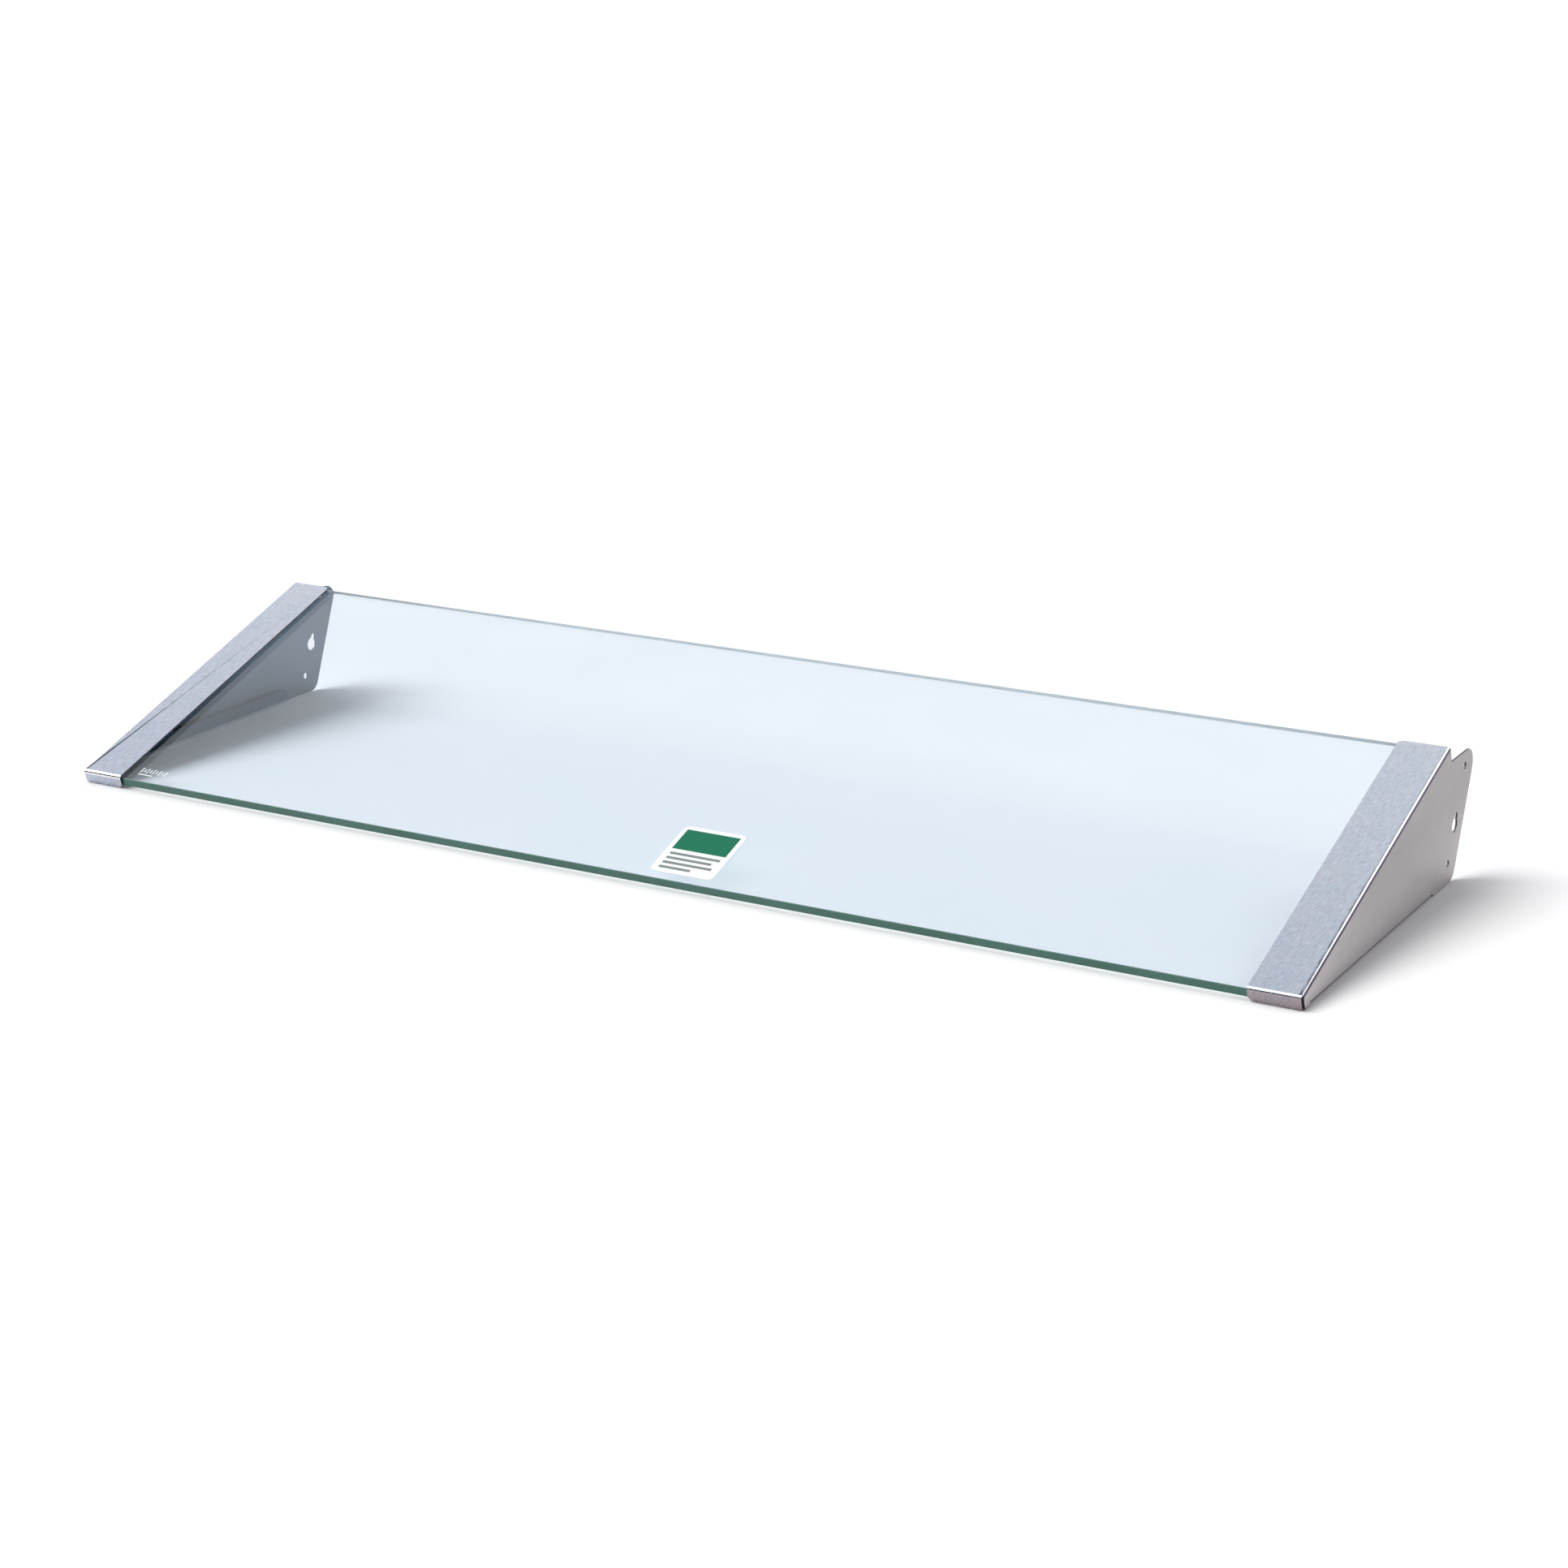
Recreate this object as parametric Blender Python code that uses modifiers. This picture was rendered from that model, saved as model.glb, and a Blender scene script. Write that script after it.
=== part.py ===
"""Sloping glass shelf panel carried by two folded stainless steel end brackets.

Metres, +Z up, +X along the shelf, +Y towards its back.  The shelf stands on the hems of
its brackets at z = 0.  Positions on the slope are given in the slope frame: x along the
shelf, u up the slope from the front fold corner, w down into the slope at right angles
to the flange's top.
"""

import bmesh
import bpy
from math import acos, ceil, cos, pi, radians, sin, tan
from mathutils import Vector

# Driving dimensions
LENGTH = 0.900                  # over the outer faces of the two side plates
SHEET = 0.0012                  # stainless steel sheet
SLOPE = radians(19.0)           # glass and flanges above the horizontal
FOLD_LENGTH = 0.2544            # flange, measured up the slope
FOLD_FRONT_HEIGHT = 0.0089      # front fold corner above the standing surface
FLANGE_WIDTH = 0.0333
LIP_DEPTH = 0.0092              # lip below the flange's top
BACK_LEAN = radians(21.7)       # rear edge of the side plate, from the vertical
PLATE_BOTTOM_LENGTH = 0.2595    # front fold corner to the rear bottom corner, before rounding
TAB_HEIGHT = 0.0812             # straight top of the rear tab
BEND_RADIUS = 0.0018            # of the sheet's middle surface, in every fold
GLASS_THICKNESS = 0.006
BOND_GAP = 0.0010               # between the flange's underside and the glass
FIT_GAP = 0.0003                # left between pieces that touch

# Side plate details
FRONT_EDGE_SETBACK = 0.0025     # side plate's front edge behind the lip's outer face
FRONT_CORNER_RADIUS = 0.0020
REAR_CORNER_RADIUS = 0.0095
TAB_CORNER_RADIUS = 0.0110
CUT_EDGE_HEIGHT = 0.0003        # cut bottom edge of the side plate, beside the hem
HOLE_LINE_INSET = 0.0158        # hole centres from the rear edge
SCREW_HOLE_RADIUS = 0.00235
LOWER_HOLE_RISE = 0.0086        # up the rear edge from the rear bottom corner
KEYHOLE_RISE = 0.0333
UPPER_HOLE_RISE = 0.0709
KEYHOLE_RADIUS = 0.0049
KEYHOLE_SLOT_RADIUS = 0.0024
KEYHOLE_SLOT_REACH = 0.0058     # keyhole centre to the centre of the slot's round end

# Flange and lip details
LIP_END_INSET = 0.0008          # lip's outer end inside the side plate's outer face
LIP_INNER_CORNER_RADIUS = 0.0042
LIP_OUTER_CORNER_RADIUS = 0.0010
FLANGE_BACK_CORNER_RADIUS = 0.0040
RELIEF_MARGIN = 0.0003          # relief cut past the end of a fold's radius

# Hem along the bottom of the side plate
HEM_HEIGHT = 0.0110
HEM_FRONT = 0.0140              # hem's front end behind the front fold corner
HEM_REAR = 0.2208
HEM_FRONT_HEIGHT = 0.0036       # hem's front end, kept under the glass
HEM_CORNER_RADIUS = 0.0040
HEM_FLAT = 0.0001               # between the hem's two quarter bends
HEM_RELIEF_WIDTH = 0.0005       # slits that free the hem's ends from the side plate

# Glass, bonding tape and label
GLASS_END_GAP = 0.0008          # glass ends inside the side plates' inner faces
GLASS_FRONT_GAP = 0.0005        # glass front edge behind the lip's inner face
GLASS_BACK_SETBACK = 0.0004     # glass rear edge inside the flange's rear edge
GLASS_ARRIS = 0.0006
TAPE_EDGE_INSET = 0.0010        # tape inside the flange's inner edge
TAPE_END_INSET = 0.0060         # tape short of the glass's front and rear edges
TAPE_OUTER_INSET = 0.0040       # tape inside the side plate's outer face
LABEL_WIDTH = 0.046
LABEL_HEIGHT = 0.048
LABEL_THICKNESS = 0.00015
LABEL_CORNER_RADIUS = 0.004
LABEL_CENTRE_X = 0.035
LABEL_CENTRE_U = 0.0325

# Derived positions
HALF_LENGTH = LENGTH / 2
HALF_SHEET = SHEET / 2
GLASS_TOP_W = SHEET + BOND_GAP
WEB_X = HALF_LENGTH - HALF_SHEET            # middle surface of the side plate
FLANGE_INNER_X = HALF_LENGTH - FLANGE_WIDTH
HEM_WEB_X = WEB_X - 2 * BEND_RADIUS - HEM_FLAT
BEND_OUTER_RADIUS = BEND_RADIUS + HALF_SHEET

ARC_STEP = radians(12)
SMOOTH_ANGLE = radians(31)
HOLE_SIDES = 24
BEND_SEGMENTS = 6

PARTS = "glass_shelf"
CUTTERS = "cutters"


def clear_scene():
    for obj in list(bpy.data.objects):
        bpy.data.objects.remove(obj, do_unlink=True)


def new_collection(name):
    collection = bpy.data.collections.new(name)
    bpy.context.scene.collection.children.link(collection)
    return collection


def principled(name, colour, roughness, metallic=0.0, transmission=0.0):
    material = bpy.data.materials.new(name)
    material.use_nodes = True
    shader = material.node_tree.nodes["Principled BSDF"]
    shader.inputs["Base Color"].default_value = (*colour, 1.0)
    shader.inputs["Roughness"].default_value = roughness
    shader.inputs["Metallic"].default_value = metallic
    shader.inputs["Transmission Weight"].default_value = transmission
    return material


def slope_to_side(u, w):
    """Slope frame to the (y, z) of the side view, with the front fold corner at y = 0."""
    y = u * cos(SLOPE) + w * sin(SLOPE)
    z = FOLD_FRONT_HEIGHT + u * sin(SLOPE) - w * cos(SLOPE)
    return y, z


def slope_point(x, u, w):
    y, z = slope_to_side(u, w)
    return Vector((x, y, z))


def rounded_outline(corners):
    """Points of a closed flat outline; corners are (point, radius), radius 0 staying sharp."""
    points = []
    for index, (corner, radius) in enumerate(corners):
        corner = Vector(corner)
        if radius == 0:
            points.append(corner)
            continue
        to_last = (Vector(corners[index - 1][0]) - corner).normalized()
        to_next = (Vector(corners[(index + 1) % len(corners)][0]) - corner).normalized()
        angle = acos(to_last.dot(to_next))
        bisector = (to_last + to_next).normalized()
        centre = corner + bisector * (radius / sin(angle / 2))
        start = corner + to_last * (radius / tan(angle / 2)) - centre
        end = corner + to_next * (radius / tan(angle / 2)) - centre
        sweep = pi - angle
        steps = ceil(sweep / ARC_STEP)
        for step in range(steps + 1):
            turned = sweep * step / steps
            part = start * sin(sweep - turned) + end * sin(turned)
            points.append(centre + part / sin(sweep))
    return points


def rear_edge_point(rise, inset):
    """Side view point at a height along the rear edge and a distance in from it."""
    y = PLATE_BOTTOM_LENGTH + rise * sin(BACK_LEAN) - inset * cos(BACK_LEAN)
    z = rise * cos(BACK_LEAN) + inset * sin(BACK_LEAN)
    return y, z


def side_plate_outline():
    """Middle surface of the side plate in (y, z), up to the sharp fold lines."""
    fold_w = HALF_SHEET
    fold_front = slope_to_side(FRONT_EDGE_SETBACK, fold_w)
    fold_back = slope_to_side(FOLD_LENGTH, fold_w)
    front_drop = (fold_front[1] - CUT_EDGE_HEIGHT) / cos(SLOPE)
    front_bottom = slope_to_side(FRONT_EDGE_SETBACK, fold_w + front_drop)
    notch_drop = (fold_back[1] - TAB_HEIGHT) / cos(SLOPE)
    notch = slope_to_side(FOLD_LENGTH, fold_w + notch_drop)
    tab_rise = TAB_HEIGHT / cos(BACK_LEAN)
    relief_height = HALF_SHEET + BEND_RADIUS + RELIEF_MARGIN
    return rounded_outline([
        (fold_front, 0),
        (fold_back, 0),
        (notch, 0),
        (rear_edge_point(tab_rise, 0), TAB_CORNER_RADIUS),
        (rear_edge_point(CUT_EDGE_HEIGHT / cos(BACK_LEAN), 0), REAR_CORNER_RADIUS),
        ((HEM_REAR + HEM_RELIEF_WIDTH, CUT_EDGE_HEIGHT), 0),
        ((HEM_REAR + HEM_RELIEF_WIDTH, relief_height), 0),
        ((HEM_REAR, relief_height), 0),
        ((HEM_REAR, HALF_SHEET), 0),
        ((HEM_FRONT, HALF_SHEET), 0),
        ((HEM_FRONT, relief_height), 0),
        ((HEM_FRONT - HEM_RELIEF_WIDTH, relief_height), 0),
        ((HEM_FRONT - HEM_RELIEF_WIDTH, CUT_EDGE_HEIGHT), 0),
        (front_bottom, FRONT_CORNER_RADIUS),
    ])


def flange_outline():
    """Middle surface of the flange in (x, u), with the V cut that lets both folds close."""
    lip_end = HALF_LENGTH - LIP_END_INSET
    relief_depth = BEND_RADIUS + RELIEF_MARGIN
    return rounded_outline([
        ((FLANGE_INNER_X, HALF_SHEET), 0),
        ((lip_end, HALF_SHEET), 0),
        ((lip_end, HALF_SHEET + relief_depth), 0),
        ((WEB_X - relief_depth, FRONT_EDGE_SETBACK), 0),
        ((WEB_X, FRONT_EDGE_SETBACK), 0),
        ((WEB_X, FOLD_LENGTH), 0),
        ((FLANGE_INNER_X, FOLD_LENGTH), FLANGE_BACK_CORNER_RADIUS),
    ])


def lip_outline():
    """Middle surface of the front lip in (x, w)."""
    lip_end = HALF_LENGTH - LIP_END_INSET
    return rounded_outline([
        ((lip_end, HALF_SHEET), 0),
        ((FLANGE_INNER_X, HALF_SHEET), 0),
        ((FLANGE_INNER_X, LIP_DEPTH), LIP_INNER_CORNER_RADIUS),
        ((lip_end, LIP_DEPTH), LIP_OUTER_CORNER_RADIUS),
    ])


def hem_outline():
    """Middle surface of the hem's leaf in (y, z); its front end slopes with the glass."""
    slant = (HEM_HEIGHT - HEM_FRONT_HEIGHT) / tan(SLOPE)
    return rounded_outline([
        ((HEM_FRONT, HALF_SHEET), 0),
        ((HEM_FRONT, HEM_FRONT_HEIGHT), 0),
        ((HEM_FRONT + slant, HEM_HEIGHT), 0),
        ((HEM_REAR, HEM_HEIGHT), HEM_CORNER_RADIUS),
        ((HEM_REAR, HALF_SHEET), 0),
    ])


def bracket_webs(side):
    """The bracket's five flat webs as outlines in space, sharing their fold lines."""
    plate = [Vector((side * WEB_X, y, z)) for y, z in side_plate_outline()]
    flange = [slope_point(side * x, u, HALF_SHEET) for x, u in flange_outline()]
    lip = [slope_point(side * x, HALF_SHEET, w) for x, w in lip_outline()]
    leaf = [Vector((side * HEM_WEB_X, y, z)) for y, z in hem_outline()]
    floor = [
        Vector((side * x, y, HALF_SHEET))
        for x, y in (
            (WEB_X, HEM_FRONT),
            (HEM_WEB_X, HEM_FRONT),
            (HEM_WEB_X, HEM_REAR),
            (WEB_X, HEM_REAR),
        )
    ]
    return [plate, flange, lip, leaf, floor]


def mesh_object(name, bm, collection, material=None):
    mesh = bpy.data.meshes.new(name)
    bm.to_mesh(mesh)
    bm.free()
    obj = bpy.data.objects.new(name, mesh)
    collection.objects.link(obj)
    if material:
        mesh.materials.append(material)
    return obj


def prism(name, outline, sweep, collection, material=None):
    """A closed solid swept from a flat outline along a vector."""
    bm = bmesh.new()
    base = bm.faces.new([bm.verts.new(point) for point in outline])
    swept = bmesh.ops.extrude_face_region(bm, geom=[base], use_keep_orig=True)
    moved = [item for item in swept["geom"] if isinstance(item, bmesh.types.BMVert)]
    bmesh.ops.translate(bm, vec=sweep, verts=moved)
    bmesh.ops.recalc_face_normals(bm, faces=bm.faces)
    return mesh_object(name, bm, collection, material)


def as_cutter(obj):
    obj.display_type = "WIRE"
    obj.hide_render = True
    return obj


def round_hole_cutter(name, side, centre, radius, collection):
    bm = bmesh.new()
    bmesh.ops.create_cone(
        bm,
        cap_ends=True,
        segments=HOLE_SIDES,
        radius1=radius,
        radius2=radius,
        depth=4 * SHEET,
    )
    cutter = mesh_object(name, bm, collection)
    cutter.location = (side * WEB_X, *centre)
    cutter.rotation_euler = (0, pi / 2, 0)
    return as_cutter(cutter)


def keyhole_outline():
    """A round hole with a narrow round-ended slot up the rear edge, about its own centre."""
    mouth = acos(KEYHOLE_SLOT_RADIUS / KEYHOLE_RADIUS)
    points = []
    for step in range(HOLE_SIDES + 1):
        angle = mouth - step / HOLE_SIDES * (pi + 2 * mouth)
        points.append((KEYHOLE_RADIUS * cos(angle), KEYHOLE_RADIUS * sin(angle)))
    half_sides = HOLE_SIDES // 2
    for step in range(half_sides + 1):
        angle = pi - step / half_sides * pi
        across = KEYHOLE_SLOT_RADIUS * cos(angle)
        along = KEYHOLE_SLOT_REACH + KEYHOLE_SLOT_RADIUS * sin(angle)
        points.append((across, along))
    return points


def keyhole_cutter(name, side, collection):
    centre_y, centre_z = rear_edge_point(KEYHOLE_RISE, HOLE_LINE_INSET)
    start_x = side * (WEB_X - 2 * SHEET)
    outline = []
    for across, along in keyhole_outline():
        y = centre_y + across * cos(BACK_LEAN) + along * sin(BACK_LEAN)
        z = centre_z - across * sin(BACK_LEAN) + along * cos(BACK_LEAN)
        outline.append(Vector((start_x, y, z)))
    sweep = Vector((side * 4 * SHEET, 0, 0))
    return as_cutter(prism(name, outline, sweep, collection))


def add_boolean(obj, cutter):
    cut = obj.modifiers.new(f"cut {cutter.name}", "BOOLEAN")
    cut.operation = "DIFFERENCE"
    cut.solver = "EXACT"
    cut.object = cutter


def apply_modifiers(obj):
    """Keep the shape that the modifiers give, with its bends and hole walls shaded smooth."""
    depsgraph = bpy.context.evaluated_depsgraph_get()
    shaped = bpy.data.meshes.new_from_object(obj.evaluated_get(depsgraph))
    shaped.name = obj.name
    obj.modifiers.clear()
    obj.data = shaped
    shaped.shade_smooth()
    shaped.set_sharp_from_angle(angle=SMOOTH_ANGLE)


def build_bracket(name, side, material, parts, cutters):
    """One sheet folded five times: flange and lip at the top, a hem at the bottom."""
    bm = bmesh.new()
    for outline in bracket_webs(side):
        bm.faces.new([bm.verts.new(point) for point in outline])
    bmesh.ops.remove_doubles(bm, verts=bm.verts, dist=0.00001)
    bmesh.ops.recalc_face_normals(bm, faces=bm.faces)
    bracket = mesh_object(name, bm, parts, material)

    bends = bracket.modifiers.new("bends", "BEVEL")
    bends.width = BEND_RADIUS
    bends.segments = BEND_SEGMENTS
    bends.limit_method = "ANGLE"
    bends.angle_limit = radians(60)

    thickness = bracket.modifiers.new("sheet thickness", "SOLIDIFY")
    thickness.thickness = SHEET
    thickness.offset = 0
    thickness.use_even_offset = True

    holes = [
        round_hole_cutter(
            f"{name}_lower_screw_hole",
            side,
            rear_edge_point(LOWER_HOLE_RISE, HOLE_LINE_INSET),
            SCREW_HOLE_RADIUS,
            cutters,
        ),
        round_hole_cutter(
            f"{name}_upper_screw_hole",
            side,
            rear_edge_point(UPPER_HOLE_RISE, HOLE_LINE_INSET),
            SCREW_HOLE_RADIUS,
            cutters,
        ),
        keyhole_cutter(f"{name}_keyhole", side, cutters),
    ]
    for hole in holes:
        add_boolean(bracket, hole)
    apply_modifiers(bracket)
    return [bracket, *holes]


def slope_box(name, slope, collection, material, x_range, u_range, w_range):
    """A box given by its ranges in the slope frame, parented to the slope."""
    size = [high - low for low, high in (x_range, u_range, w_range)]
    middle = [(low + high) / 2 for low, high in (x_range, u_range, w_range)]
    bm = bmesh.new()
    bmesh.ops.create_cube(bm, size=1.0)
    bmesh.ops.scale(bm, vec=size, verts=bm.verts)
    box = mesh_object(name, bm, collection, material)
    box.parent = slope
    box.location = (middle[0], middle[1], -middle[2])
    return box


def build_glass(slope, parts, material):
    half = HALF_LENGTH - SHEET - GLASS_END_GAP
    front = SHEET + GLASS_FRONT_GAP
    back = FOLD_LENGTH - GLASS_BACK_SETBACK
    thickness = (GLASS_TOP_W, GLASS_TOP_W + GLASS_THICKNESS)
    glass = slope_box(
        "glass_panel", slope, parts, material, (-half, half), (front, back), thickness
    )
    arris = glass.modifiers.new("ground arris", "BEVEL")
    arris.width = GLASS_ARRIS
    arris.segments = 2
    apply_modifiers(glass)


def build_tape(name, side, slope, parts, material):
    inner = FLANGE_INNER_X + TAPE_EDGE_INSET
    outer = HALF_LENGTH - TAPE_OUTER_INSET
    x_range = sorted((side * inner, side * outer))
    u_range = (TAPE_END_INSET, FOLD_LENGTH - TAPE_END_INSET)
    w_range = (SHEET + FIT_GAP, GLASS_TOP_W - FIT_GAP)
    return slope_box(name, slope, parts, material, x_range, u_range, w_range)


def build_label(slope, parts, material):
    half_x = LABEL_WIDTH / 2
    half_u = LABEL_HEIGHT / 2
    outline = rounded_outline([
        ((-half_x, -half_u), LABEL_CORNER_RADIUS),
        ((half_x, -half_u), LABEL_CORNER_RADIUS),
        ((half_x, half_u), LABEL_CORNER_RADIUS),
        ((-half_x, half_u), LABEL_CORNER_RADIUS),
    ])
    base = [Vector((x, u, 0)) for x, u in outline]
    label = prism("label", base, Vector((0, 0, LABEL_THICKNESS)), parts, material)
    label.parent = slope
    label.location = (LABEL_CENTRE_X, LABEL_CENTRE_U, FIT_GAP - GLASS_TOP_W)
    return label


def depth_middle():
    """Middle of the object's depth while the front fold corner is at y = 0."""
    front = BEND_OUTER_RADIUS * (cos(SLOPE) + sin(SLOPE) - 1)
    back = max(y for y, z in side_plate_outline())
    return (front + back) / 2


def build():
    clear_scene()
    parts = new_collection(PARTS)
    cutters = new_collection(CUTTERS)

    steel = principled("brushed_stainless", (0.62, 0.63, 0.65), 0.32, metallic=1.0)
    steel_left = steel.copy()
    steel_left.name = "brushed_stainless_left"
    glass = principled("clear_glass", (0.86, 0.95, 0.93), 0.02, transmission=1.0)
    tape = principled("bonding_tape", (0.09, 0.10, 0.11), 0.55)
    paper = principled("printed_label", (0.92, 0.93, 0.92), 0.45)

    origin = bpy.data.objects.new("shelf_origin", None)
    parts.objects.link(origin)
    slope = bpy.data.objects.new("slope", None)
    parts.objects.link(slope)
    slope.parent = origin
    slope.location = (0, 0, FOLD_FRONT_HEIGHT)
    slope.rotation_euler = (SLOPE, 0, 0)

    folded = build_bracket("right_bracket", 1, steel, parts, cutters)
    folded += build_bracket("left_bracket", -1, steel_left, parts, cutters)
    for obj in folded:
        obj.parent = origin

    build_glass(slope, parts, glass)
    build_tape("right_bonding_tape", 1, slope, parts, tape)
    build_tape("left_bonding_tape", -1, slope, parts, tape.copy())
    build_label(slope, parts, paper)
    origin.location = (0, -depth_middle(), 0)


build()
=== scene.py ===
import math

import bmesh
import bpy
from mathutils import Matrix, Quaternion, Vector


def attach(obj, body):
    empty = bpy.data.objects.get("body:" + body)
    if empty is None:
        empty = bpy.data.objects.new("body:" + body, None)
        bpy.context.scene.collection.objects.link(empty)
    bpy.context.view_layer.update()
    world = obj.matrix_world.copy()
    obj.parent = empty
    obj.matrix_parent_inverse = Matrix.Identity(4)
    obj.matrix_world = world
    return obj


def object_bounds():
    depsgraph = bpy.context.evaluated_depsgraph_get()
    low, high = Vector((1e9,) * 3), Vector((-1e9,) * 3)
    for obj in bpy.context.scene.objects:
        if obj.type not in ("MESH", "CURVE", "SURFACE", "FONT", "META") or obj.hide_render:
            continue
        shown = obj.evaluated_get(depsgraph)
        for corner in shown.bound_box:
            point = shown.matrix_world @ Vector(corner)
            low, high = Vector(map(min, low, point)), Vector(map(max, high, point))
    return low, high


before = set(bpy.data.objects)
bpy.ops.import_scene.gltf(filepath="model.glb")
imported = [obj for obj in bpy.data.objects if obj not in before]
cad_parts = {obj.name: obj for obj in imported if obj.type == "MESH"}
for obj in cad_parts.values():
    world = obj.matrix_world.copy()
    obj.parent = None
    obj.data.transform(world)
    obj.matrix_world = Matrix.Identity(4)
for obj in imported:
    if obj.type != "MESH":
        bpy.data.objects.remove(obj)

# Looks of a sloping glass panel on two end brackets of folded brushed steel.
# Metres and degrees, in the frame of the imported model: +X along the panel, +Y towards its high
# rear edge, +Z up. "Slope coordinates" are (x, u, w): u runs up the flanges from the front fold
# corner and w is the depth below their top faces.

CAD_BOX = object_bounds()
BODY = "root"
MM = 0.001

# Camera
CAMERA_AZIMUTH = 30.29  # degrees from straight in front, towards the right bracket
CAMERA_ELEVATION = 17.42
CAMERA_ROLL = -0.49
CAMERA_DISTANCE = 2.072
CAMERA_LENS = 71.77  # millimetres on a 36 mm sensor
AIM_OFFSET = Vector((0.0258, 0.0109, -0.0180))  # from the middle of the object's box

# Studio. Azimuths are degrees from straight in front, negative towards the left bracket.
FLOOR_SIZE = 160.0
FLOOR_GAP = 0.0002
SUN_AZIMUTH = -60.0
SUN_ELEVATION = 54.0
SUN_ANGLE = 48.0
SUN_STRENGTH = 2.85
RIM_AZIMUTH = 131.0
RIM_ELEVATION = 42.0
RIM_DISTANCE = 2.0
RIM_SIZE = 0.55
RIM_RADIANCE = 3.2
SKY_LOBES = (  # azimuth, elevation, cosine where the lobe ends, cosine where it is full, colour
    (-156.0, 46.0, 0.45, 0.93, (1.05, 1.07, 1.10)),
    (178.0, 40.0, 0.62, 0.95, (0.62, 0.62, 0.64)),
    (70.0, 42.0, 0.55, 0.95, (0.22, 0.22, 0.23)),
)
SKY_BASE = (0.055, 0.050, 0.060)

# The folded sheet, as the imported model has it
SLOPE = math.radians(19.0)
FRONT_CORNER = Vector((0.0, -0.14362, 0.0089))  # where the fold lines meet, at x = 0
SHEET = 0.0012
WELD_DISTANCE = 0.00001
SHARP_ANGLE = math.radians(31.0)
FLAT_COSINE = math.cos(math.radians(6.5))
SKIN_TOLERANCE = 0.0001
LIP_TOP = 0.0084  # the lips lie below this height, the flanges above it
CUT_EDGE_WIDTH = 1.3 * SHEET  # a strip narrower than this is a cut edge or a hole's wall
LONG_FOLD_NORMAL = 0.1  # the normals of the long folds reach further along X than this
FACING = 0.7  # the share of a normal along an axis that makes a face look along it

# Painted light and shade on the steel
LIP_PAINTED_SHADE_FADE = 0.0005
SIDE_PAINTED_SHADE_HEIGHT = 0.05
FOLD_PAINTED_SHADE_FULL = 0.00025  # the painted shade beside the side plate, measured inwards from its face
FOLD_PAINTED_SHADE_END = 0.00055

# The label's print, in fractions of its width and height
PRINT_SOFTNESS = 0.004
PRINT_PANEL = (0.07, 0.93, 0.50, 0.93)  # left, right, bottom, top
PRINT_RULES = ((0.38, 0.90), (0.28, 0.82), (0.18, 0.88), (0.08, 0.60))  # bottom, right end
PRINT_RULE_LEFT = 0.10
PRINT_RULE_HEIGHT = 0.05

# UV layers
GRAIN_UV = "grain"  # metres in the flat sheet: (across the grain, along the grain)
PRINT_UV = "print"  # 0 to 1 over the label

# The glass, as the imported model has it
GLASS_TOP_DEPTH = 0.0022
GLASS_IOR = 1.52

# The etched mark in the glass's front left corner
MARK_INK_THICKNESS = 0.00003
MARK_GAP = 0.00002
MARK_FIRST_BAR_X = -0.4075
MARK_BAR_STEP = 0.0026
MARK_BAR_U = 0.014
MARK_BAR_WIDTH = 0.0011
MARK_BAR_HEIGHTS = (0.0056, 0.0038, 0.0056, 0.0038, 0.0056, 0.0038, 0.0056, 0.0038, 0.0056)
MARK_BAR_RADIUS = 0.0004
MARK_RULE_X = -0.4018
MARK_RULE_U = 0.0095
MARK_RULE_LENGTH = 0.0125
MARK_RULE_WIDTH = 0.0012
MARK_RULE_RADIUS = 0.0005


# ---------------------------------------------------------------- slope coordinates

def slope_coordinates(point):
    """(x, u, w) of a point in the model's frame."""
    y = point.y - FRONT_CORNER.y
    z = point.z - FRONT_CORNER.z
    u = y * math.cos(SLOPE) + z * math.sin(SLOPE)
    w = y * math.sin(SLOPE) - z * math.cos(SLOPE)
    return point.x, u, w


def slope_point(x, u, w):
    """The point in the model's frame with these slope coordinates."""
    y = FRONT_CORNER.y + u * math.cos(SLOPE) + w * math.sin(SLOPE)
    z = FRONT_CORNER.z + u * math.sin(SLOPE) - w * math.cos(SLOPE)
    return Vector((x, y, z))


# ---------------------------------------------------------------- node helpers

def new_material(name):
    """An empty node material with its output node."""
    material = bpy.data.materials.new(name)
    material.use_nodes = True
    tree = material.node_tree
    tree.nodes.clear()
    output = tree.nodes.new("ShaderNodeOutputMaterial")
    return material, tree, output


def math_node(tree, operation, a, b=None):
    """A Math node on sockets or numbers; gives its output socket."""
    node = tree.nodes.new("ShaderNodeMath")
    node.operation = operation
    for socket, value in zip(node.inputs, (a, b)):
        if value is None:
            continue
        if isinstance(value, (int, float)):
            socket.default_value = value
        else:
            tree.links.new(value, socket)
    return node.outputs[0]


def uv_vector(tree, layer):
    node = tree.nodes.new("ShaderNodeUVMap")
    node.uv_map = layer
    return node.outputs["UV"]


def object_vector(tree):
    return tree.nodes.new("ShaderNodeTexCoord").outputs["Object"]


def split_vector(tree, vector):
    """A vector's X, Y and Z sockets."""
    node = tree.nodes.new("ShaderNodeSeparateXYZ")
    tree.links.new(vector, node.inputs["Vector"])
    return [node.outputs[axis] for axis in "XYZ"]


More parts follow.
